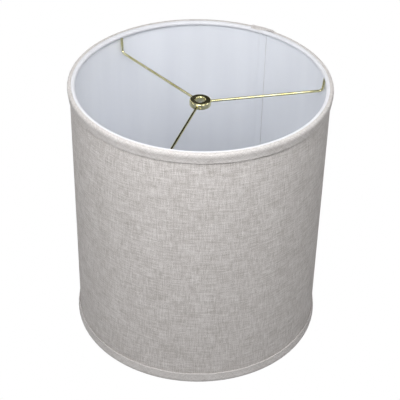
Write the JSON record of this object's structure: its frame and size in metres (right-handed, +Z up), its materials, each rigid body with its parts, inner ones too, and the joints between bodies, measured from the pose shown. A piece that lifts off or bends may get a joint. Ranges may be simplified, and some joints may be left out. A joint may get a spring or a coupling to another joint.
{
  "type": "lamp shade",
  "caption": "Straight drum lamp shade of linen laminated to a white liner, with folded trims on wire rings and a brass washer spider.",
  "frame": {"origin": "on the shade's axis, in the plane of its bottom rim, which it stands on", "axes": "+Z up along the axis towards the rim that holds the spider; the sheets' lap is at 57.5 to 61 degrees from +X towards +Y"},
  "size_m": [0.3048, 0.3048, 0.3302],
  "materials": {
    "linen": "plain-woven natural linen with slubs, matte",
    "linen_trim": "bias-cut linen tape, folded, matte",
    "white_binding": "white woven cotton tape, matte",
    "liner": "white polystyrene sheet, faint satin",
    "tape": "thin translucent adhesive strip",
    "ring_wire": "drawn steel wire, welded into a ring",
    "brass": "pale yellow brass plate, polished"
  },
  "bodies": {
    "root": {"linen_cover": "linen", "styrene_liner": "liner", "lap_tape": "tape", "top_ring": "ring_wire", "bottom_ring": "ring_wire", "top_trim": "linen_trim", "bottom_trim": "linen_trim", "top_binding": "white_binding", "bottom_binding": "white_binding", "hub_washer": "brass", "spider_arm_1": "brass", "spider_arm_2": "brass", "spider_arm_3": "brass"}
  },
  "joints": []
}
